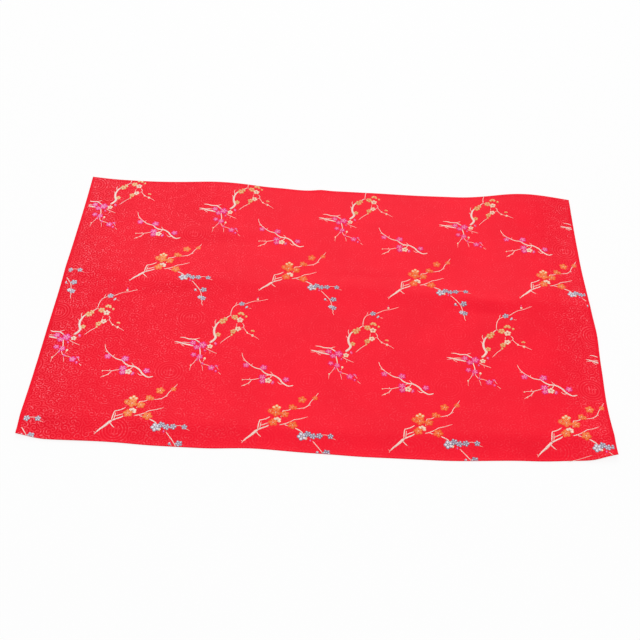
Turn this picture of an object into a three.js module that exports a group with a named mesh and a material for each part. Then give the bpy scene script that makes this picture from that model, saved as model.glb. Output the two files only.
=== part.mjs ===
// A rectangular length of red satin brocade, laid out on a floor and left in the soft folds that
// it keeps from having been packed. It is one cut piece of cloth: its two short edges are the
// loom's own edges and its two long edges are turned and pressed, so it is one closed solid.
//
// Millimetres, +Z up. X runs along the long side, Y from the front edge to the back edge.
// The origin is the middle of the cloth's box, on the floor.

import * as THREE from "three";
import { mergeVertices } from "three/addons/utils/BufferGeometryUtils.js";

const WIDTH = 750;
const DEPTH = 500;
const THICKNESS = 1.2;
const COLUMNS = 52;

// Rows of facets run closer together where the cloth is creased.
const ROW_BANDS = [
  { from: -250, to: -208, rows: 6 },
  { from: -208, to: -12, rows: 11 },
  { from: -12, to: 72, rows: 11 },
  { from: 72, to: 250, rows: 14 },
];

// Where the cloth was folded for packing it stands up in a long ridge: a rounded crest with a
// slope that dies away over backReach behind it and frontReach in front of it.
const MIDDLE_RIDGE = {
  crestRound: 5,
  backReach: 48,
  frontReach: 55,
  line: [
    { x: -375, y: 44, height: 5 },
    { x: -250, y: 35, height: 5.6 },
    { x: -100, y: 33, height: 5.2 },
    { x: 40, y: 37, height: 5.8 },
    { x: 150, y: 30, height: 6.3 },
    { x: 240, y: 21, height: 7 },
    { x: 375, y: 17, height: 7.2 },
  ],
};
const FRONT_RIDGE = {
  crestRound: 4,
  backReach: 65,
  frontReach: 21,
  line: [
    { x: -375, y: -226, height: 6.4 },
    { x: -150, y: -226, height: 5.4 },
    { x: 100, y: -227, height: 5.4 },
    { x: 260, y: -220, height: 6.4 },
    { x: 375, y: -211, height: 7.4 },
  ],
};

// Broad swells, where the cloth doesn't quite reach the floor.
const SWELLS = [
  { x: -300, y: 10, acrossReach: 120, alongReach: 260, height: 5.5 },
  { x: -150, y: 120, acrossReach: 70, alongReach: 150, height: 3.5 },
  { x: 300, y: -20, acrossReach: 60, alongReach: 180, height: 5.5 },
  { x: 304, y: 262, acrossReach: 71, alongReach: 85, height: 13.7 },
  { x: -172, y: 258, acrossReach: 66, alongReach: 60, height: 6.4 },
  { x: -385, y: 255, acrossReach: 34, alongReach: 55, height: 4 },
  { x: -13, y: 256, acrossReach: 14, alongReach: 30, height: 5 },
  { x: 388, y: -264, acrossReach: 34, alongReach: 32, height: 11 },
  { x: -385, y: -262, acrossReach: 22, alongReach: 30, height: 3 },
];

// Short creases: a small roll behind a small hollow, both dying away over half the length.
const CREASES = [
  { x: -220, y: 13, length: 76, width: 9, height: 1.2, turn: 0.26 },
  { x: 226, y: 8, length: 88, width: 11, height: 1.6, turn: -0.15 },
  { x: 55, y: 64, length: 110, width: 6, height: 0.9, turn: 0.02 },
  { x: -188, y: 124, length: 150, width: 11, height: 1.7, turn: 0.13 },
];

// How far each edge lies outside the plain rectangle.
const FRONT_EDGE = [
  { at: -375, out: 4 },
  { at: -340, out: 9.5 },
  { at: -260, out: 8.5 },
  { at: -200, out: 10.4 },
  { at: -140, out: 10.4 },
  { at: -80, out: 6.8 },
  { at: 0, out: 9.6 },
  { at: 60, out: 11.2 },
  { at: 150, out: 10.8 },
  { at: 270, out: 4.6 },
  { at: 340, out: 0 },
  { at: 375, out: -9 },
];
const BACK_EDGE = [
  { at: -375, out: 3 },
  { at: -300, out: 1.5 },
  { at: -120, out: 2 },
  { at: -80, out: 1 },
  { at: -40, out: -2 },
  { at: -12, out: 0 },
  { at: 60, out: 0 },
  { at: 130, out: -1 },
  { at: 230, out: 0.5 },
  { at: 300, out: 2.5 },
  { at: 375, out: 4 },
];
const RIGHT_EDGE = [
  { at: -250, out: 0.9 },
  { at: -165, out: -0.6 },
  { at: -85, out: 2.2 },
  { at: -38, out: 4.5 },
  { at: 20, out: 1.2 },
  { at: 60, out: 1 },
  { at: 110, out: 0.3 },
  { at: 250, out: 0.5 },
];
const LEFT_EDGE = [
  { at: -250, out: -0.2 },
  { at: -205, out: 0 },
  { at: -80, out: -0.2 },
  { at: 20, out: -1.5 },
  { at: 140, out: -0.7 },
  { at: 250, out: -0.9 },
];
const EDGE_REACH = 70;

// Cloth that would float lower than this lies on the floor, and rounds up from it over the blend.
const SETTLE_HEIGHT = 2.6;
const SETTLE_BLEND = 1.0;

function smooth(t) {
  return t * t * (3 - 2 * t);
}

// The value of one column of a table at a place along it, eased from row to row.
function along(table, key, column, place) {
  if (place <= table[0][key]) return table[0][column];
  for (let i = 1; i < table.length; i += 1) {
    const low = table[i - 1];
    const high = table[i];
    if (place <= high[key]) {
      const t = smooth((place - low[key]) / (high[key] - low[key]));
      return low[column] + (high[column] - low[column]) * t;
    }
  }
  return table[table.length - 1][column];
}

function ridgeHeight(ridge, x, y) {
  const offset = y - along(ridge.line, "x", "y", x);
  const reach = offset > 0 ? ridge.backReach : ridge.frontReach;
  const distance = Math.hypot(offset, ridge.crestRound) - ridge.crestRound;
  return along(ridge.line, "x", "height", x) * Math.exp(-distance / reach);
}

function swellHeight(swell, x, y) {
  const across = (x - swell.x) / swell.acrossReach;
  const lengthways = (y - swell.y) / swell.alongReach;
  return swell.height * Math.exp(-across * across - lengthways * lengthways);
}

function creaseHeight(crease, x, y) {
  const dx = x - crease.x;
  const dy = y - crease.y;
  const lengthways = (dx * Math.cos(crease.turn) + dy * Math.sin(crease.turn)) / (crease.length / 2);
  const across = (dy * Math.cos(crease.turn) - dx * Math.sin(crease.turn)) / crease.width;
  return crease.height * across * Math.exp(0.5 - across * across / 2 - lengthways * lengthways);
}

// The underside's height above the floor.
function undersideHeight(x, y) {
  let height = ridgeHeight(MIDDLE_RIDGE, x, y) + ridgeHeight(FRONT_RIDGE, x, y) - SETTLE_HEIGHT;
  for (const swell of SWELLS) height += swellHeight(swell, x, y);
  for (const crease of CREASES) height += creaseHeight(crease, x, y);
  if (height <= -SETTLE_BLEND) return 0;
  if (height >= SETTLE_BLEND) return height;
  return (height + SETTLE_BLEND) ** 2 / (4 * SETTLE_BLEND);
}

// One edge's bow, faded out over EDGE_REACH from that edge.
function edgeShift(table, at, distance) {
  return distance >= EDGE_REACH ? 0 : along(table, "at", "out", at) * smooth(1 - distance / EDGE_REACH);
}

function rowPlaces() {
  const places = [ROW_BANDS[0].from];
  for (const band of ROW_BANDS) {
    for (let i = 1; i <= band.rows; i += 1) {
      places.push(band.from + ((band.to - band.from) * i) / band.rows);
    }
  }
  return places;
}

function clothGeometry() {
  const places = rowPlaces();
  const rows = places.length - 1;
  const geometry = new THREE.BoxGeometry(WIDTH, DEPTH, THICKNESS, COLUMNS, rows, 1);
  geometry.deleteAttribute("normal");
  geometry.deleteAttribute("uv");
  const point = geometry.attributes.position;
  for (let i = 0; i < point.count; i += 1) {
    const x = point.getX(i);
    const y = places[Math.round((point.getY(i) / DEPTH + 0.5) * rows)];
    const shiftX =
      edgeShift(RIGHT_EDGE, y, WIDTH / 2 - x) - edgeShift(LEFT_EDGE, y, x + WIDTH / 2);
    const shiftY =
      edgeShift(BACK_EDGE, x, DEPTH / 2 - y) - edgeShift(FRONT_EDGE, x, y + DEPTH / 2);
    const above = point.getZ(i) > 0 ? THICKNESS : 0;
    point.setXYZ(i, x + shiftX, y + shiftY, undersideHeight(x + shiftX, y + shiftY) + above);
  }
  const cloth = mergeVertices(geometry, 1e-3);
  cloth.computeVertexNormals();
  cloth.computeBoundingBox();
  return cloth;
}

const clothMaterial = new THREE.MeshStandardMaterial({
  color: 0xf02c3e,
  roughness: 0.45,
  metalness: 0,
});

const cloth = new THREE.Mesh(clothGeometry(), clothMaterial);
cloth.name = "satin_sheet";
const middle = cloth.geometry.boundingBox.getCenter(new THREE.Vector3());
cloth.position.set(-middle.x, -middle.y, -cloth.geometry.boundingBox.min.z);

const sheet = new THREE.Group();
sheet.add(cloth);
sheet.updateMatrixWorld(true);

export default sheet;
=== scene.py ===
import math
from collections import namedtuple

import bmesh
import bpy
from mathutils import Matrix, Vector, noise
from mathutils.bvhtree import BVHTree
from mathutils.geometry import interpolate_bezier


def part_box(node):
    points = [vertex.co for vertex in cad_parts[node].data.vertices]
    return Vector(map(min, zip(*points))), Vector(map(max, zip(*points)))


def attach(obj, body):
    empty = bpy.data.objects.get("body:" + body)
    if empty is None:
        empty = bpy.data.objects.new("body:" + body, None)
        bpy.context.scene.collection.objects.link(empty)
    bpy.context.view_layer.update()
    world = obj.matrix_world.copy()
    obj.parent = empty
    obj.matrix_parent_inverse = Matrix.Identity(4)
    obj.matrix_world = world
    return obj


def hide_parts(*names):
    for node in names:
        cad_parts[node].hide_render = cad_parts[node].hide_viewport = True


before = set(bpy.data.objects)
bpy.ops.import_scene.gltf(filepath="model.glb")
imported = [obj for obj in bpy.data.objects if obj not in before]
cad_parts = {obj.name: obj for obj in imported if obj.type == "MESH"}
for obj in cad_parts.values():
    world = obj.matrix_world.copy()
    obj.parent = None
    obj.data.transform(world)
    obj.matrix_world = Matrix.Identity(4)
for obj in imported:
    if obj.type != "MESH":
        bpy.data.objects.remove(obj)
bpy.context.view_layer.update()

# ---- The cloth ----
# One length of red satin. Its left and right edges are the loom's own plain edges, and its
# front and back edges are turned under and pressed. A damask of small curls and round frets
# is woven into it in the same red yarn.

MM = 0.001
CLOTH_NODE = "satin_sheet"
CLOTH_THICKNESS = 0.6 * MM
HEM_WIDTH = 3.5 * MM
HEM_RISE = 0.4 * MM
HEM_SLOPE = 0.35
EDGE_BOW = 10 * MM
CLOTH_FINENESS = 2
SLACK_HEIGHT = 0.35 * MM
SLACK_SIZE = 34 * MM
SLACK_CROWDING = 1.6
FACE_TILT = 0.3
MAP_FILL = 0.98
MAP_EDGE = 0.01
RIM_MAP_WIDTH = 0.004
REVERSE_MAP_START = 0.71
REVERSE_MAP_DEPTH = 0.28

REPEAT_WIDTH = 184.1
REPEAT_DEPTH = 270.1
FIRST_FORK = (-315.3, 239.4)

# The weave is drawn a few millimetres aside in places, as handling leaves it. Each pull is
# strongest at its own place, and dies away over its width and its depth.
Pull = namedtuple("Pull", "x y width depth across along")
PULLS = [
    Pull(95, -80, 140, 400, 0, -4),
    Pull(-230, 240, 220, 75, 0, 11),
    Pull(300, 150, 60, 60, 0, 6),
    Pull(-60, 45, 260, 40, 0, -5),
    Pull(-120, -35, 45, 35, 0, 3),
    Pull(335, -60, 75, 220, 5, 5),
    Pull(368, 180, 38, 60, 0, 4),
]

cloth_low, cloth_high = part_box(CLOTH_NODE)


def rgb(red, green, blue):
    """A colour given as a screen shows it, 0 to 255, in the linear terms that shaders take."""
    return (*(((part / 255 + 0.055) / 1.055) ** 2.4 for part in (red, green, blue)), 1)


GROUND_RED = rgb(251, 23, 48)
DEEP_RED = rgb(214, 7, 32)
LINE_RED = rgb(255, 110, 122)
REVERSE_RED = rgb(176, 20, 34)


def laid_layer():
    """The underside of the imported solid, facing up, as one layer of four-sided faces."""
    bm = bmesh.new()
    bm.from_mesh(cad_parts[CLOTH_NODE].data)
    bmesh.ops.remove_doubles(bm, verts=bm.verts, dist=0.01 * MM)
    bm.normal_update()
    others = [face for face in bm.faces if face.normal.z > -FACE_TILT]
    bmesh.ops.delete(bm, geom=others, context="FACES")
    bmesh.ops.reverse_faces(bm, faces=bm.faces)
    bmesh.ops.join_triangles(
        bm, faces=bm.faces, angle_face_threshold=math.pi, angle_shape_threshold=math.pi
    )
    return bm


def mark_edges(bm):
    """A strip inside the edges, marked 1 along its turned hems and along its loom edges."""
    bmesh.ops.inset_region(
        bm, faces=bm.faces, thickness=HEM_WIDTH, use_boundary=True, use_even_offset=True
    )
    hem = bm.verts.layers.float.new("hem")
    loom_edge = bm.verts.layers.float.new("loom_edge")
    sharp = bm.verts.layers.float.new("crease_vert")
    boundary = [vert for vert in bm.verts if vert.is_boundary]
    for vert in boundary:
        turned = cloth_high.y - abs(vert.co.y) < cloth_high.x - abs(vert.co.x) + EDGE_BOW
        vert[hem if turned else loom_edge] = 1
    for x in (cloth_low.x, cloth_high.x):
        for y in (cloth_low.y, cloth_high.y):
            corner = min(boundary, key=lambda vert: (vert.co.xy - Vector((x, y))).length)
            corner[sharp] = 1


def made_finer(bm, name):
    """The layer as an object whose mesh has been through a smooth subdivision."""
    mesh = bpy.data.meshes.new(name)
    bm.to_mesh(mesh)
    piece = bpy.data.objects.new(name, mesh)
    bpy.context.scene.collection.objects.link(piece)
    finer = piece.modifiers.new("finer", "SUBSURF")
    finer.levels = CLOTH_FINENESS
    finer.render_levels = CLOTH_FINENESS
    finer.boundary_smooth = "PRESERVE_CORNERS"
    bpy.context.view_layer.update()
    smooth = piece.evaluated_get(bpy.context.evaluated_depsgraph_get())
    piece.data = bpy.data.meshes.new_from_object(smooth)
    piece.modifiers.clear()
    return piece


def eased(t):
    t = min(1, max(0, t))
    return t * t * (3 - 2 * t)


def let_down(bm):
    """Raises the turned edges and gives the cloth the faint unevenness of limp satin."""
    hem = bm.verts.layers.float["hem"]
    for vert in bm.verts:
        slack = noise.noise(Vector((vert.co.x, vert.co.y * SLACK_CROWDING, 0)) / SLACK_SIZE)
        vert.co.z += SLACK_HEIGHT * (0.5 + 0.5 * slack) + HEM_RISE * eased(vert[hem] / HEM_SLOPE)
        vert.co.z = max(vert.co.z, 0)


def give_thickness(bm):
    """Lifts the layer by the cloth's thickness, then grows the reverse and the edge below it."""
    bmesh.ops.translate(bm, verts=bm.verts, vec=(0, 0, CLOTH_THICKNESS))
    bmesh.ops.solidify(bm, geom=bm.faces[:], thickness=CLOTH_THICKNESS)
    bm.normal_update()


def drawn_aside(place):
    """How far the weave is drawn aside at a place on the cloth, in metres."""
    drawn = Vector((0, 0))
    for pull in PULLS:
        across = (place.x / MM - pull.x) / pull.width
        along = (place.y / MM - pull.y) / pull.depth
        drawn += Vector((pull.across, pull.along)) * math.exp(-across * across - along * along)
    return drawn * MM


def lay_out_maps(bm):
    """One map holds flat places in metres. The other spreads face, edge and reverse apart."""
    flat = bm.loops.layers.uv.new("flat")
    bake = bm.loops.layers.uv.new("OFBake")
    size = cloth_high - cloth_low
    scale = MAP_FILL / size.x
    for face in bm.faces:
        face.smooth = True
        reverse = face.normal.z < -FACE_TILT
        face.material_index = 1 if reverse else 0
        lowest = min(vert.co.z for vert in face.verts) + CLOTH_THICKNESS / 2
        for loop in face.loops:
            place = loop.vert.co
            loop[flat].uv = place.xy - drawn_aside(place)
            spot = (place.xy - cloth_low.xy) * scale + Vector((MAP_EDGE, MAP_EDGE))
            if reverse:
                share = (place.y - cloth_low.y) / size.y
                spot.y = REVERSE_MAP_START + REVERSE_MAP_DEPTH * share
            elif face.normal.z < FACE_TILT and place.z < lowest:
                spot += face.normal.xy.normalized() * RIM_MAP_WIDTH
            loop[bake].uv = spot


def surfaces(bm):
    """The whole cloth, and its edge alone, ready for finding places on them."""
    edge = bm.copy()
    level = [face for face in edge.faces if abs(face.normal.z) > FACE_TILT]
    bmesh.ops.delete(edge, geom=level, context="FACES")
    return BVHTree.FromBMesh(bm), BVHTree.FromBMesh(edge)


def make_cloth():
    layer = laid_layer()
    mark_edges(layer)
    piece = made_finer(layer, "brocade_sheet")
    bm = bmesh.new()
    bm.from_mesh(piece.data)
    let_down(bm)
    give_thickness(bm)
    lay_out_maps(bm)
    bm.to_mesh(piece.data)
    return piece, *surfaces(bm)


class Value:
    """A number, colour or vector inside a finish. Arithmetic on numbers adds Math nodes."""

    def __init__(self, finish, socket):
        self.finish = finish
        self.socket = socket

    def math(self, operation, *others):
        return self.finish.node(
            "ShaderNodeMath", {"operation": operation}, dict(enumerate((self, *others)))
        )

    def __add__(self, other):
        return self.math("ADD", other)

    __radd__ = __add__

    def __mul__(self, other):
        return self.math("MULTIPLY", other)

    __rmul__ = __mul__

    def __sub__(self, other):
        return self.math("SUBTRACT", other)

    def __rsub__(self, other):
        return self * -1 + other


class Finish:
    """A material being put together round its shader."""

    def __init__(self, name, **constants):
        self.material = bpy.data.materials.new(name)
        self.material.use_nodes = True
        self.tree = self.material.node_tree
        self.shader = self.tree.nodes["Principled BSDF"]
        self.feed(self.shader, {name.replace("_", " "): value for name, value in constants.items()})

    def feed(self, node, values):
        for name, value in values.items():
            if isinstance(value, Value):
                self.tree.links.new(value.socket, node.inputs[name])
            else:
                node.inputs[name].default_value = value

    def node(self, kind, settings, values, output=0):
        node = self.tree.nodes.new(kind)
        for name, value in settings.items():
            setattr(node, name, value)
        self.feed(node, values)
        return Value(self, node.outputs[output])

    def mixed(self, share, first, second):
        """Two colours mixed. A share of 1 is all of the second."""
        values = {0: share, 6: first, 7: second}
        return self.node("ShaderNodeMix", {"data_type": "RGBA"}, values, output=2)

    def step(self, value, start, end):
        """0 before start and 1 past end, eased between them."""
        values = {"Value": value, "From Min": start, "From Max": end}
        return self.node("ShaderNodeMapRange", {"interpolation_type": "SMOOTHSTEP"}, values)

    def wave(self, value, period):
        """Swings from -1 to 1 and back over each period."""
        return (value * (2 * math.pi / period)).math("SINE")

    def noise(self, place, size, detail=0.0):
        """Soft chance values about 0.5, in spots of about the given size."""
        values = {"Vector": place, "Scale": 1 / size, "Detail": detail}
        return self.node("ShaderNodeTexNoise", {}, values)

    def part(self, vector, axis):
        return self.node("ShaderNodeSeparateXYZ", {}, {0: vector}, output=axis)

    def flat_place(self):
        """The place on the laid-out cloth, in millimetres, as a vector, across and along."""
        flat = self.node("ShaderNodeUVMap", {"uv_map": "flat"}, {})
        values = {0: flat, "Scale": 1 / MM}
        place = self.node("ShaderNodeVectorMath", {"operation": "SCALE"}, values)
        return place, self.part(place, 0), self.part(place, 1)

    def marked(self, name):
        """The strength of one of the marks along the edges."""
        return self.node("ShaderNodeAttribute", {"attribute_name": name}, {}, output=2)

    def raised(self, height, strength=1.0):
        """Turns a height in millimetres into the shader's relief."""
        values = {"Height": height, "Distance": MM, "Strength": strength}
        self.feed(self.shader, {"Normal": self.node("ShaderNodeBump", {}, values)})


# Sizes of the weave and its damask, in millimetres on the laid-out cloth. The medallions'
# places are parts of a repeat, across and down from the first fork.
WEAVE_PITCH = 0.8
CURL_SIZE = 9.0
CURL_PITCH = 3.5
CURL_SCATTER = 0.85
CURL_TURN = 9
RING_PITCH = 3.8
RING_START = 0.4
BAR_GAP = 0.4
HEART_RADIUS = 7.5
MEDALLION_RADIUS = 19.0
MEDALLION_PLACES = [(0.62, 0.39), (0.32, 0.765), (0.71, 0.03)]
RIM_SOFTNESS = 0.2
LINE_SOFTNESS = 0.6

# The damask is plain to see towards both ends of the cloth and nearly goes between them: a painted
# sheen that lightens its lines and deepens the red between them. Each fade runs between two places
# across the cloth, in millimetres, and has its own strength.
Fade = namedtuple("Fade", "start end strength")
LEFT_FADE = Fade(-250, -50, 0.27)
FAR_LEFT_FADE = Fade(-370, -285, 0.45)
FAR_RIGHT_FADE = Fade(290, 370, 0.45)
FAINTEST_DAMASK = 0.13
GLINT_SIZE = 2.8
GLINT_PATCH_SIZE = 15
SHADE_SIZE = 80


def curls(finish, place):
    """Small spirals, each wound about a scattered centre of its own."""
    around = {"Vector": place, "Scale": 1 / CURL_SIZE, "Randomness": CURL_SCATTER}
    flat = {"voronoi_dimensions": "2D"}
    centre = finish.node("ShaderNodeTexVoronoi", flat, around, output="Position")
    chance = finish.part(finish.node("ShaderNodeTexVoronoi", flat, around, output="Color"), 0)
    subtract = {"operation": "SUBTRACT"}
    offset = finish.node("ShaderNodeVectorMath", subtract, {0: place, 1: centre})
    x, y = finish.part(offset, 0), finish.part(offset, 1)
    radius = (x * x + y * y).math("SQRT")
    hand = chance.math("GREATER_THAN", 0.5) * 2 - 1
    wound = radius * (2 * math.pi / CURL_PITCH) + y.math("ARCTAN2", x) * hand
    return (wound + chance * CURL_TURN).math("SINE")


def disc(finish, radius, limit):
    """1 within the limit and 0 past it, with a soft rim."""
    return 1 - finish.step(radius, limit - RIM_SOFTNESS, limit + RIM_SOFTNESS)


def medallion(finish, x, y, across, down):
    """A mask of one row of round medallions, and the rings and bars that fill them."""
    half_width, half_depth = REPEAT_WIDTH / 2, REPEAT_DEPTH / 2
    middle_x = FIRST_FORK[0] + REPEAT_WIDTH * across
    middle_y = FIRST_FORK[1] - REPEAT_DEPTH * down
    dx = (x - middle_x).math("WRAP", half_width, -half_width)
    dy = (y - middle_y).math("WRAP", half_depth, -half_depth)
    radius = (dx * dx + dy * dy).math("SQRT")
    rings = finish.wave(radius - MEDALLION_RADIUS + RING_PITCH * RING_START, RING_PITCH)
    crossbars = finish.wave(dy, RING_PITCH * 2) - BAR_GAP
    bars = finish.wave(dx, RING_PITCH).math("MAXIMUM", crossbars)
    heart = disc(finish, radius, HEART_RADIUS)
    inside = disc(finish, radius, MEDALLION_RADIUS)
    return inside, bars * heart + rings * (1 - heart)


def damask(finish, place, x, y):
    """1 on the lines of the damask and 0 between them."""
    figure = curls(finish, place)
    for across, down in MEDALLION_PLACES:
        inside, fret = medallion(finish, x, y, across, down)
        figure = figure * (1 - inside) + fret * inside
    return finish.step(figure, 0.0, LINE_SOFTNESS)


def fading_out(finish, x, fade):
    return (1 - finish.step(x, fade.start, fade.end)) * fade.strength


def fading_in(finish, x, fade):
    return finish.step(x, fade.start, fade.end) * fade.strength


def painted_damask_sheen(finish, x):
    """How plainly the damask shows at a place across the cloth, as painted sheen."""
    left = fading_out(finish, x, LEFT_FADE) + fading_out(finish, x, FAR_LEFT_FADE)
    return FAINTEST_DAMASK + left + fading_in(finish, x, FAR_RIGHT_FADE)


def painted_glints(finish, place):
    """Small painted glints: bright flecks, gathered in patches."""
    flecks = finish.step(finish.noise(place, GLINT_SIZE), 0.45, 0.68)
    patches = finish.step(finish.noise(place, GLINT_PATCH_SIZE), 0.4, 0.6)
    return flecks * patches


def grain(finish, x, y):
    """The fine grain of the cloth's own threads, from -1 to 1."""
    return finish.wave(x, WEAVE_PITCH) * finish.wave(y, WEAVE_PITCH)


def satin_finish():
    """Smooth satin, its damask a little deeper between the lines and lighter on them, most of all
    towards both ends as painted sheen, with painted glints on its lines.
    """
    finish = Finish("red_satin", Roughness=0.5, Specular_IOR_Level=0.06)
    place, x, y = finish.flat_place()
    lines = damask(finish, place, x, y)
    plain = finish.step(finish.marked("loom_edge"), 0.02, 0.1)
    damask_sheen = painted_damask_sheen(finish, x) * (1 - plain)
    shaded = finish.step(finish.noise(place, SHADE_SIZE, 1), 0.3, 0.7)
    ground = finish.mixed(shaded * 0.15, GROUND_RED, DEEP_RED)
    # Painted sheen: the red is deepened between the damask's lines and lightened on them, most
    # towards both ends.
    ground = finish.mixed((1 - lines) * damask_sheen * 0.6 + plain * 0.2, ground, DEEP_RED)
    # Painted glints lighten the damask's lines in small patches.
    bright = 0.25 + painted_glints(finish, place) * 0.85
    colour = finish.mixed(lines * damask_sheen * bright, ground, LINE_RED)
    finish.feed(finish.shader, {"Base Color": colour})
    finish.raised(lines * 0.05 + grain(finish, x, y) * 0.012, 0.5)
    return finish.material


def reverse_finish():
    """The back of the satin is weft-faced and dull."""
    finish = Finish("satin_reverse", Roughness=0.75, Specular_IOR_Level=0.2)
    place, x, y = finish.flat_place()
    threads = grain(finish, x, y)
    lines = damask(finish, place, x, y)
    colour = finish.mixed(0.3 + lines * 0.3 + threads * 0.1, REVERSE_RED, DEEP_RED)
    finish.feed(finish.shader, {"Base Color": colour})
    finish.raised(threads * 0.03 - lines * 0.04)
    return finish.material


cloth, cloth_surface, cloth_edge = make_cloth()
cloth.data.materials.append(satin_finish())
cloth.data.materials.append(reverse_finish())
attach(cloth, "root")
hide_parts(CLOTH_NODE)

# ---- The sprays ----
# Plum sprays brocaded into the satin in coloured weft yarns, which lie on its face as low
# raised floats. Three sprays make up one repeat of the pattern, and the repeat runs on over
# the whole cloth, up to the plain loom edges and over the turned ones.

TWIG_SIDES = 6
PETAL_SIDES = 10
FLOAT_DEPTH = 0.25 * MM
TWIG_CREST = 0.18 * MM
OUTLINE_CREST = 0.22 * MM
FILLING_CREST = 0.25 * MM
HEART_CREST = 0.28 * MM
LAYER_RISE = 0.07 * MM
LAYERS = 4
PETAL_RISE = 0.003 * MM
BUD_RADIUS = 3.1
LOOM_EDGE_LEFT = 6.0 * MM
LOOM_EDGE_RIGHT = 3.2 * MM
TURNED_EDGE = 0.3 * MM
EDGE_ZONE = 20 * MM
DROP_HEIGHT = 100 * MM
COLUMNS = range(-1, 5)
ROWS = range(-1, 3)

# A twig is narrower at its tips and swells here and there, and a patch's top is a part of its
# foot. Places and lengths in a blossom or bud are parts of its radius, except that a bud tip's
# breadth is a part of the tip's length, and a stamen's width is its own.
TWIG_TIP = 0.6
KNOT_SIZE = 3 * MM
KNOT_SWELL = 0.16
PATCH_TOP = 0.62
PETAL_REACH = 0.5
STAMEN_PLACE = 0.3
STAMEN_LENGTH = 0.18
STAMEN_WIDTH = 0.16 * MM
HEART_SIZE = 0.16
BUD_BREADTH = 0.8
BUD_TIP_PLACE = 0.2
BUD_TIP_BREADTH = 0.7

# The turn in degrees from one petal to the next, in a whole ring and in a part of one.
RING_STEP = 72
PART_RING_STEP = 55

Twig = namedtuple("Twig", "widths route")
Blossom = namedtuple("Blossom", "kind x y radius petals facing", defaults=(5, 90))
Spray = namedtuple("Spray", "across down twigs blossoms")
Kind = namedtuple("Kind", "outline filling heart breadth inward share slimness")

YARNS = {
    "ivory": rgb(255, 221, 208),
    "orange": rgb(255, 96, 28),
    "apricot": rgb(255, 142, 62),
    "gold": rgb(238, 164, 92),
    "straw": rgb(255, 208, 172),
    "magenta": rgb(250, 26, 120),
    "pink": rgb(255, 138, 190),
    "slate": rgb(144, 134, 156),
    "mist": rgb(236, 226, 236),
    "wine": rgb(160, 44, 44),
}

# A petal's breadth and the place of its filling are parts of the blossom's radius. The
# filling's share is a part of the petal, and its slimness narrows it further.
KINDS = {
    "orange": Kind("orange", "apricot", "straw", 0.44, 0.45, 0.55, 0.6),
    "gold": Kind("gold", "straw", "orange", 0.46, 0.5, 0.55, 0.6),
    "peach": Kind("apricot", "straw", "orange", 0.48, 0.54, 0.8, 0.85),
    "cream": Kind("straw", "ivory", "wine", 0.44, 0.56, 0.68, 0.8),
    "rose": Kind("magenta", "pink", "ivory", 0.48, 0.42, 0.6, 0.75),
    "blue": Kind("slate", "mist", "mist", 0.43, 0.56, 0.6, 0.8),
    "pale": Kind("slate", "mist", "ivory", 0.46, 0.5, 0.82, 0.95),
}

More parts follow.
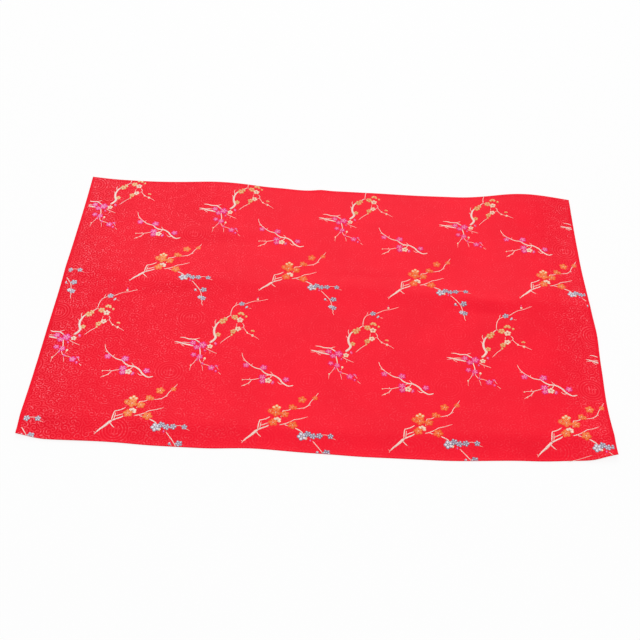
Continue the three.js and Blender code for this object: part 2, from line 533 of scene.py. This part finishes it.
# Every place below is in millimetres from the spray's own fork or tip, and a blossom lies over
# the ones named just before it.
BOUGH = Spray(
    0,
    0,
    [
        Twig((1.2, 1.9, 2.8, 3.4, 4, 3.6), [
            (0, 0), (-4, -4), (-9, -9.5), (-15, -14), (-18, -20), (-19.5, -27),
            (-18.5, -34), (-16, -40), (-19, -46), (-23, -50),
        ]),
        Twig((1.2, 0.7), [(-18, -20), (-20, -13), (-19, -9)]),
        Twig((1.1, 0.7), [(-20, -26), (-22.5, -21)]),
        Twig((1.1, 0.9), [(0, 0), (0.5, 8), (2, 15), (5, 20), (9, 22.5), (14, 24)]),
        Twig((0.9, 0.6), [(5, 20), (7, 28)]),
        Twig((1, 0.6), [(18, 24.5), (24, 29), (31, 33), (38, 34.5), (47, 38.5), (50, 39.5)]),
        Twig((0.7, 0.5), [(24, 17.5), (28, 16.5)]),
        Twig((0.9, 0.6), [(0, 0), (3, -2)]),
        Twig((1, 0.6), [
            (18, -13), (20.5, -17), (20, -20), (23, -25), (26, -29), (30, -31), (36, -34), (43, -39),
        ]),
        Twig((0.7, 0.6), [(20, -20), (15, -23)]),
        Twig((0.7, 0.6), [(10.5, -14), (10, -20)]),
        Twig((1, 0.7), [(4, -36), (-1, -40.5), (-5, -45), (-9, -50)]),
        Twig((1.8, 1.8, 1.2), [
            (-36, -51), (-40, -48), (-44, -45.5), (-52, -45.5), (-58, -43.5), (-64, -43.5),
        ]),
        Twig((1.3, 0.8), [(-44, -45.5), (-37, -42.5)]),
        Twig((2.2, 2.8, 2.6, 1.4), [(-44, -57.5), (-50, -56), (-56, -55), (-62, -53), (-70, -51.5)]),
        Twig((1.3, 1.2), [(-50, -52), (-60, -52)]),
        Twig((1.2, 0.7), [(-62, -55), (-56, -59.5)]),
        Twig((1, 0.7), [(-63, -54), (-70, -55)]),
        Twig((1.5, 1.5), [(-35.5, -56), (-35, -62), (-33.5, -69), (-33.5, -74)]),
        Twig((1, 0.7), [(-27, -60), (-23, -63), (-17, -66), (-11.5, -68.5)]),
        Twig((0.8, 0.6), [(-21, -66), (-20.5, -69)]),
        Twig((0.8, 0.5), [(-36, -78), (-39, -85), (-42, -90), (-43.5, -93), (-44, -101)]),
        Twig((1, 0.7), [(-34, -79), (-32, -84), (-29, -88), (-24, -89), (-19, -91), (-16, -93)]),
        Twig((0.6, 0.5), [(-29, -90), (-27.5, -95), (-27, -100)]),
        Twig((0.6, 0.5), [(-28, -84), (-26.5, -79)]),
        Twig((0.8, 0.6), [(-9.5, -91), (-6, -97)]),
        Twig((0.8, 0.6), [(-6, -101), (-2, -105)]),
    ],
    [
        Blossom("blue", 14, 25, 5.2, 5, 100),
        Blossom("pale", 20, 19.5, 3.6, 3, -30),
        Blossom("cream", 35.5, 37.5, 2.4),
        Blossom("rose", 35.5, 41, 1.6),
        Blossom("gold", 14.5, 3.5, 5.4, 4, 80),
        Blossom("gold", 6.5, -3, 5.4, 5, 200),
        Blossom("gold", 22, 0, 2.6),
        Blossom("cream", 14, -7.5, 5.4, 5, 20),
        Blossom("cream", 26, -29, 2),
        Blossom("gold", 33, -26, 3.4, 3, 80),
        Blossom("cream", 33.5, -33, 2.6),
        Blossom("gold", 6.5, -28.5, 4.6, 5, 230),
        Blossom("cream", 12.5, -23.5, 5, 5, 60),
        Blossom("gold", 5, -34.5, 2.4),
        Blossom("gold", -7, -8, 4.6, 3, 40),
        Blossom("gold", -10, -11.5, 5.6, 5, 190),
        Blossom("gold", -13.5, -35, 4.4, 5, 20),
        Blossom("rose", -45.5, -52, 5.4, 5, 110),
        Blossom("rose", -39.5, -59.5, 5.2, 5, 30),
        Blossom("rose", -32, -55, 7, 5, 75),
        Blossom("rose", -16, -51.5, 3.6, 3, 20),
        Blossom("cream", -22, -56.5, 4.6, 5, 90),
        Blossom("rose", -28, -64.5, 2.4),
        Blossom("rose", -42, -73, 4.6, 5, 120),
        Blossom("rose", -33.5, -76, 5.2, 5, 50),
        Blossom("cream", -26.5, -78.5, 2.5),
        Blossom("cream", -43.5, -92, 1.8),
        Blossom("rose", -28.5, -87.5, 2.6),
        Blossom("rose", -36.5, -82, 2.2),
        Blossom("rose", -16, -94, 5.6, 5, 15),
        Blossom("rose", -10, -91.5, 3.4, 3, 60),
        Blossom("rose", -9.5, -99.5, 2.8),
    ],
)
TWIGLET = Spray(
    61.2,
    -110.7,
    [
        Twig((0.8, 1.1, 1.5, 1.9, 2.3, 2.5, 2.5, 1.6), [
            (-39, 46), (-37.5, 40), (-34, 33.5), (-29, 28.5), (-25, 25), (-20, 21.5), (-15, 20),
            (-11, 19), (-8, 15), (-4, 12), (0, 10.5), (6, 10), (11, 7), (15, 3.5), (17, 0),
            (20, -3), (24, -6), (28, -7), (33, -5),
        ]),
        Twig((0.8, 0.6), [(-37, 34), (-33, 32)]),
        Twig((0.9, 0.6), [(-25, 25), (-23, 28.5)]),
        Twig((1.3, 0.7), [(6, 10), (1.5, 16)]),
        Twig((1.1, 0.7), [(0, 10.5), (-4.5, 7.5)]),
        Twig((1.6, 1.2), [(4, 9), (1, 4)]),
        Twig((1.4, 0.7), [(20, -3), (16, -4.5), (12, -1)]),
        Twig((0.9, 1, 0.7), [(-11, 3), (-16, 2), (-22, 0), (-27, 0), (-34, -0.5)]),
        Twig((1.2, 0.7), [(-22, 0), (-25.5, -6), (-31, -9.5), (-35, -12.5)]),
        Twig((0.7, 0.6), [(-25.5, 0), (-24.5, 3)]),
        Twig((0.7, 0.6), [(-25, -4), (-25.5, -8.5)]),
    ],
    [
        Blossom("rose", -31.5, 25, 5.4, 5, 85),
        Blossom("rose", -8, 22.5, 6, 5, 110),
        Blossom("rose", -8.5, 5.5, 6, 5, 60),
        Blossom("rose", -8, -1.5, 5, 5, 250),
        Blossom("rose", 4.5, -2, 4.2, 3, -20),
        Blossom("cream", -0.5, 0.5, 5.4, 5, 80),
        Blossom("rose", 23, 4, 5.4, 5, 45),
        Blossom("cream", -34, -1, 1.4),
        Blossom("cream", -31, -10, 1.6),
    ],
)
LEANING_BRANCH = Spray(
    36.7,
    -213.1,
    [
        Twig((1.4, 2.4, 3.6, 3.6), [(0, 1), (4, 6), (9, 10.5), (14, 16), (17, 19)]),
        Twig((0.9, 0.6), [(0, 1), (-2.5, 2.5)]),
        Twig((1.1, 0.6), [(0, 1), (-1.5, -1.5)]),
        Twig((1.6, 1.5), [(17, 20), (17.5, 27), (18.5, 34), (20, 35), (26, 37.5), (31, 41.5)]),
        Twig((1.3, 1), [(19.5, 20), (20.5, 32)]),
        Twig((1.4, 1.2), [(20, 26), (26, 29), (30, 31)]),
        Twig((2.2, 1.6), [(17, 19), (23, 22.5), (28, 25), (30.5, 27.5)]),
        Twig((1.5, 0.8), [(15.5, 16), (19, 12), (22, 9.5)]),
        Twig((0.7, 0.6), [(18.5, 13), (19, 11)]),
        Twig((1.5, 1.1), [(45, 42), (47, 49), (47, 53), (53, 54), (57, 57)]),
        Twig((1, 1.2, 0.8), [
            (64, 58), (73, 60), (79, 65), (82, 72), (87, 79.5), (91, 87),
        ]),
        Twig((0.8, 0.6), [(73, 60), (74, 58.5)]),
        Twig((0.8, 0.6), [(78, 64), (82, 66)]),
        Twig((1.5, 1.2, 0.8), [(44, 29), (50, 31), (57, 35), (62, 39), (69, 41), (79, 45.5)]),
        Twig((1.3, 1.3), [(50, 30), (55, 28)]),
        Twig((1.8, 1.8), [(64, 25), (69, 22.5), (73, 19.5), (74, 16)]),
        Twig((0.8, 0.6), [(97, 17.5), (103, 18), (107, 17)]),
        Twig((0.7, 0.5), [(111, 14), (116, 12)]),
        Twig((1.2, 1), [(87, 8), (92, 2), (97, -4.5), (101, -11), (102.5, -17), (104, -23)]),
        Twig((0.7, 0.6), [(93.5, -9), (97, -12)]),
        Twig((1.3, 0.6), [(104, -28), (105.5, -32), (105, -35), (107, -40)]),
    ],
    [
        Blossom("peach", 38.5, 57, 6.8, 5, 90),
        Blossom("orange", 31.5, 51.5, 4.8, 4, 160),
        Blossom("orange", 38, 49.5, 8, 5, 50),
        Blossom("orange", 49.5, 47.5, 6.6, 5, 20),
        Blossom("orange", 35.5, 32.5, 7.2, 5, 100),
        Blossom("cream", 40.5, 36.5, 6, 4, 57),
        Blossom("orange", 61.5, 59.5, 4, 3, -10),
        Blossom("orange", 58, 60.5, 5.4, 5, 70),
        Blossom("orange", 70.5, 74, 6.8, 5, 80),
        Blossom("orange", 87, 78, 4.4, 5, 30),
        Blossom("orange", 60.5, 30, 7.4, 5, 60),
        Blossom("blue", 80, 17.5, 5.4, 5, 110),
        Blossom("blue", 87, 15, 5.2, 5, 0),
        Blossom("pale", 73, 13.5, 7, 5, 40),
        Blossom("blue", 95, 16, 5, 5, 70),
        Blossom("cream", 78.5, 11, 2.4),
        Blossom("rose", 84, 8.5, 2.2),
        Blossom("blue", 109, 16.5, 4.6, 5, 90),
        Blossom("pale", 93.5, -9, 3),
        Blossom("blue", 105, -8, 5.6, 5, 45),
        Blossom("blue", 106, -25.5, 5.2, 5, 20),
        Blossom("pale", 101.5, -23.5, 4.2, 5, 180),
    ],
)


# One end of yarn lies loose across the front right corner. Its places are the cloth's own.
LOOSE_THREAD = Twig((0.5, 0.6, 0.5), [(310, -250), (319, -247), (331, -242.5), (342, -238)])


def rounded_route(points):
    """The route in metres through the given points, with a soft turn at each."""
    knots = [Vector((x, y, 0)) * MM for x, y in points]
    padded = [knots[0], *knots, knots[-1]]
    route = []
    for before, start, end, after in zip(padded, padded[1:], padded[2:], padded[3:]):
        leaving = start + (end - before) / 6
        arriving = end - (after - start) / 6
        route += interpolate_bezier(start, leaving, arriving, end, 3)[:-1]
    return [*route, knots[-1]]


def width_at(widths, share):
    """The width in metres at a share of the way along, between the listed widths."""
    place = share * (len(widths) - 1)
    index = min(int(place), len(widths) - 2)
    return MM * (widths[index] + (widths[index + 1] - widths[index]) * (place - index))


def twig_float(twig):
    """A six-sided rod in short stretches, bent along the twig's route and pressed flat."""
    route = rounded_route(twig.route)
    last = len(route) - 1
    bm = bmesh.new()
    bmesh.ops.create_cone(
        bm, cap_ends=True, segments=TWIG_SIDES, radius1=1, radius2=1, depth=1
    )
    sides = [edge for edge in bm.edges if abs(edge.verts[0].co.z - edge.verts[1].co.z) > 0.5]
    bmesh.ops.subdivide_edges(bm, edges=sides, cuts=last - 1)
    for vert in bm.verts:
        station = round((vert.co.z + 0.5) * last)
        along = (route[min(station + 1, last)] - route[max(station - 1, 0)]).normalized()
        across = Vector((-along.y, along.x, 0))
        half = width_at(twig.widths, station / last) / 2
        knots = 1 + KNOT_SWELL * noise.noise(route[station] / KNOT_SIZE)
        half *= knots * (TWIG_TIP if station in (0, last) else 1)
        rise = Vector((0, 0, TWIG_CREST)) * vert.co.y
        vert.co = route[station] + across * vert.co.x * half + rise
    return bm


def add_patch(bm, centre, reach, breadth, turn, crest):
    """A low oval patch with a sloping edge, its foot sunk in the cloth."""
    rise = Vector((0, 0, (crest - FLOAT_DEPTH) / 2))
    size = Matrix.Diagonal((reach, breadth, crest + FLOAT_DEPTH, 1))
    place = Matrix.Translation(centre + rise) @ Matrix.Rotation(turn, 4, "Z") @ size
    bmesh.ops.create_cone(
        bm,
        cap_ends=True,
        segments=PETAL_SIDES,
        radius1=1,
        radius2=PATCH_TOP,
        depth=1,
        matrix=place,
    )


def bud_floats(blossom, lift):
    """A closed bud: one oval with a lighter tip."""
    kind = KINDS[blossom.kind]
    radius = blossom.radius * MM
    turn = math.radians(blossom.facing)
    centre = Vector((blossom.x, blossom.y, 0)) * MM
    outline, filling = bmesh.new(), bmesh.new()
    add_patch(outline, centre, radius, radius * BUD_BREADTH, turn, OUTLINE_CREST + lift)
    tip = centre + Vector((math.cos(turn), math.sin(turn), 0)) * radius * BUD_TIP_PLACE
    long = radius * kind.share
    add_patch(filling, tip, long, long * BUD_TIP_BREADTH, turn, FILLING_CREST + lift)
    return [(kind.outline, outline), (kind.filling, filling)]


def blossom_floats(blossom, lift):
    """Full petals in a ring, each filled lighter, about a heart with fine stamens."""
    if blossom.radius < BUD_RADIUS:
        return bud_floats(blossom, lift)
    kind = KINDS[blossom.kind]
    radius = blossom.radius * MM
    centre = Vector((blossom.x, blossom.y, 0)) * MM
    outline, filling, heart = bmesh.new(), bmesh.new(), bmesh.new()
    step = math.radians(RING_STEP if blossom.petals == 5 else PART_RING_STEP)
    for number in range(blossom.petals):
        turn = math.radians(blossom.facing) + step * (number - (blossom.petals - 1) / 2)
        outward = Vector((math.cos(turn), math.sin(turn), 0)) * radius
        rise = lift + PETAL_RISE * number
        reach, breadth = radius * PETAL_REACH, radius * kind.breadth
        petal = centre + outward * PETAL_REACH
        add_patch(outline, petal, reach, breadth, turn, OUTLINE_CREST + rise)
        long, slim = reach * kind.share, breadth * kind.share * kind.slimness
        add_patch(filling, centre + outward * kind.inward, long, slim, turn, FILLING_CREST + rise)
        stamen, length = centre + outward * STAMEN_PLACE, radius * STAMEN_LENGTH
        add_patch(heart, stamen, length, STAMEN_WIDTH, turn, HEART_CREST + rise)
    add_patch(heart, centre, radius * HEART_SIZE, radius * HEART_SIZE, 0, HEART_CREST + lift)
    return [(kind.outline, outline), (kind.filling, filling), (kind.heart, heart)]


def spray_floats(spray):
    floats = [("ivory", twig_float(twig)) for twig in spray.twigs]
    for number, blossom in enumerate(spray.blossoms):
        floats += blossom_floats(blossom, LAYER_RISE * (number % LAYERS))
    return floats


def edge_margin(outward):
    """How far inside the cloth's edge the pattern stops, on the side that faces outward."""
    if abs(outward.y) > abs(outward.x):
        return TURNED_EDGE
    return LOOM_EDGE_LEFT if outward.x < 0 else LOOM_EDGE_RIGHT


def past_edge(co):
    """How far a place lies past the pattern's limit, and the limit's nearest place and side."""
    place, outward, _, _ = cloth_edge.find_nearest(co)
    outward = Vector((outward.x, outward.y, 0)).normalized()
    limit = place - outward * edge_margin(outward)
    return (co - limit).dot(outward), limit, outward


def cut_at_edge(bm):
    """Cuts off what lies past the pattern's limit, twice for a corner, and closes the cut."""
    for _ in range(2):
        if not bm.verts:
            return
        places = (past_edge(vert.co) for vert in bm.verts)
        past, limit, outward = max(places, key=lambda found: found[0])
        if past <= 0:
            return
        cut = bmesh.ops.bisect_plane(
            bm,
            geom=[*bm.verts, *bm.edges, *bm.faces],
            plane_co=limit,
            plane_no=outward,
            clear_outer=True,
        )
        edges = [item for item in cut["geom_cut"] if isinstance(item, bmesh.types.BMEdge)]
        bmesh.ops.holes_fill(bm, edges=edges)


def lie_on_cloth(bm):
    """Lifts a float, drawn flat, onto the face of the cloth under it."""
    for vert in bm.verts:
        above = Vector((vert.co.x, vert.co.y, DROP_HEIGHT))
        straight_below = cloth_surface.ray_cast(above, (0, 0, -1))[0]
        place = straight_below or cloth_surface.find_nearest(above)[0]
        vert.co.z += place.z


def reach_past(bm, margin):
    """Whether any and whether every vertex lies past a plain rectangle inside the cloth's box."""
    width, depth = cloth_high.x - margin, cloth_high.y - margin
    past = [abs(vert.co.x) > width or abs(vert.co.y) > depth for vert in bm.verts]
    return any(past), all(past)


def weave_sprays():
    """Every yarn's floats over the whole cloth, as one mesh for each yarn."""
    woven = {yarn: [] for yarn in YARNS}
    sprays = [(spray, spray_floats(spray)) for spray in (BOUGH, TWIGLET, LEANING_BRANCH)]
    for column in COLUMNS:
        for row in ROWS:
            for spray, floats in sprays:
                across = FIRST_FORK[0] + REPEAT_WIDTH * column + spray.across
                along = FIRST_FORK[1] - REPEAT_DEPTH * row + spray.down
                for yarn, drawn in floats:
                    bm = drawn.copy()
                    bmesh.ops.translate(bm, verts=bm.verts, vec=Vector((across, along, 0)) * MM)
                    for vert in bm.verts:
                        vert.co.xy += drawn_aside(vert.co)
                    if reach_past(bm, 0)[1]:
                        bm.free()
                        continue
                    if reach_past(bm, EDGE_ZONE)[0]:
                        cut_at_edge(bm)
                    lie_on_cloth(bm)
                    woven[yarn].append(bm)
    thread = twig_float(LOOSE_THREAD)
    lie_on_cloth(thread)
    woven["ivory"].append(thread)
    return woven


THREAD_PITCH = 0.45
STREAK_SIZE = 1.1
STREAK_STRETCH = (0.15, 1, 0)
DARKER_SHARE = 0.78
LIGHTER_POWER = 0.65
LEFT_SHEEN = Fade(-340, -40, 1)
RIGHT_SHEEN = Fade(200, 380, 0.4)


def yarn_finish(yarn, colour):
    """Glossy floss, uneven from thread to thread, and lighter towards both ends of the cloth as
    painted sheen.
    """
    finish = Finish(f"{yarn}_yarn", Roughness=0.42, Specular_IOR_Level=0.35)
    place = finish.node("ShaderNodeTexCoord", {}, {}, output="Object")
    values = {0: place, "Scale": 1 / MM}
    place = finish.node("ShaderNodeVectorMath", {"operation": "SCALE"}, values)
    x = finish.part(place, 0)
    threads = finish.wave(finish.part(place, 1), THREAD_PITCH)
    values = {0: place, 1: STREAK_STRETCH}
    streaked = finish.node("ShaderNodeVectorMath", {"operation": "MULTIPLY"}, values)
    uneven = finish.noise(streaked, STREAK_SIZE, 1)
    darker = (*(part * DARKER_SHARE for part in colour[:3]), 1)
    lighter = (*(part ** LIGHTER_POWER for part in colour[:3]), 1)
    # Painted sheen: the yarn is lighter towards both ends of the cloth.
    yarn_sheen = fading_out(finish, x, LEFT_SHEEN) + fading_in(finish, x, RIGHT_SHEEN)
    shaded = finish.step(uneven * 0.8 - threads * 0.15, 0.3, 0.7)
    tint = finish.mixed(shaded * 0.4, colour, darker)
    finish.feed(finish.shader, {"Base Color": finish.mixed(yarn_sheen, tint, lighter)})
    finish.raised(threads * 0.05, 0.8)
    return finish.material


def joined(floats, name):
    """All of one yarn's floats as a single smooth mesh."""
    bm = bmesh.new()
    mesh = bpy.data.meshes.new(name)
    for drawn in floats:
        drawn.to_mesh(mesh)
        bm.from_mesh(mesh, face_normals=False, vertex_normals=False)
        drawn.free()
    for face in bm.faces:
        face.smooth = True
    bm.to_mesh(mesh)
    return mesh


for yarn, floats in weave_sprays().items():
    mesh = joined(floats, f"{yarn}_floats")
    mesh.materials.append(yarn_finish(yarn, YARNS[yarn]))
    piece = bpy.data.objects.new(f"{yarn}_floats", mesh)
    bpy.context.scene.collection.objects.link(piece)
    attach(piece, "root")

# ---- The floor and the light ----
# A plain white floor, even light from all round, and two large soft lamps. The one high
# behind the cloth shows up its folds, and the one over its front edge keeps them soft.

FLOOR_GREY = (0.9, 0.9, 0.9, 1)
FLOOR_HALF_WIDTH = 4
FLOOR_GLOW = 0.85


def white_floor():
    bm = bmesh.new()
    bmesh.ops.create_grid(bm, x_segments=1, y_segments=1, size=FLOOR_HALF_WIDTH)
    mesh = bpy.data.meshes.new("floor")
    bm.to_mesh(mesh)
    floor = bpy.data.objects.new("floor", mesh)
    bpy.context.scene.collection.objects.link(floor)
    finish = Finish("floor_white", Base_Color=FLOOR_GREY, Roughness=0.9)
    seen = finish.node("ShaderNodeLightPath", {}, {}, output="Is Camera Ray")
    for ray in ("Is Glossy Ray", "Is Transmission Ray"):
        seen = seen.math("MAXIMUM", finish.node("ShaderNodeLightPath", {}, {}, output=ray))
    glow = finish.node("ShaderNodeEmission", {}, {"Color": (1, 1, 1, 1), "Strength": 1})
    lit = Value(finish, finish.shader.outputs[0])
    blend = finish.node("ShaderNodeMixShader", {}, {0: seen * FLOOR_GLOW, 1: lit, 2: glow})
    finish.feed(finish.tree.nodes["Material Output"], {"Surface": blend})
    mesh.materials.append(finish.material)


def even_light(strength):
    world = bpy.data.worlds.new("studio")
    world.use_nodes = True
    background = world.node_tree.nodes["Background"]
    background.inputs["Color"].default_value = (1, 1, 1, 1)
    background.inputs["Strength"].default_value = strength
    bpy.context.scene.world = world


def aimed(location, target, roll=0.0):
    """The placing that puts a lamp or camera at a location, facing a target."""
    back = Vector(location) - Vector(target)
    turn = back.to_track_quat("Z", "Y").to_matrix().to_4x4()
    return Matrix.Translation(location) @ turn @ Matrix.Rotation(roll, 4, "Z")


def soft_lamp(name, location, size, power):
    light = bpy.data.lights.new(name, "AREA")
    light.shape = "SQUARE"
    light.size = size
    light.energy = power
    lamp = bpy.data.objects.new(name, light)
    lamp.matrix_world = aimed(location, (0, 0, 0))
    bpy.context.scene.collection.objects.link(lamp)


white_floor()
even_light(strength=0.41)
soft_lamp("back_lamp", (0, 3.4, 2.6), size=2.2, power=71)
soft_lamp("front_lamp", (0, -1.1, 3.9), size=2.5, power=74)
bpy.context.scene.view_settings.view_transform = "Standard"

# ---- The camera ----
# It stands in front of the cloth and looks down on it at about 46 degrees, a little askew.


def camera_above(target, distance, azimuth, elevation, roll, lens):
    spot = Vector((
        math.sin(azimuth) * math.cos(elevation),
        -math.cos(azimuth) * math.cos(elevation),
        math.sin(elevation),
    ))
    data = bpy.data.cameras.new("camera")
    data.lens = lens
    data.sensor_width = 36
    camera = bpy.data.objects.new("camera", data)
    camera.matrix_world = aimed(Vector(target) + spot * distance, target, roll)
    bpy.context.scene.collection.objects.link(camera)
    bpy.context.scene.camera = camera


camera_above(
    target=(-0.0067, -0.0304, 0.004),
    distance=1.454,
    azimuth=math.radians(0.454),
    elevation=math.radians(46.34),
    roll=math.radians(2.56),
    lens=59.06,
)
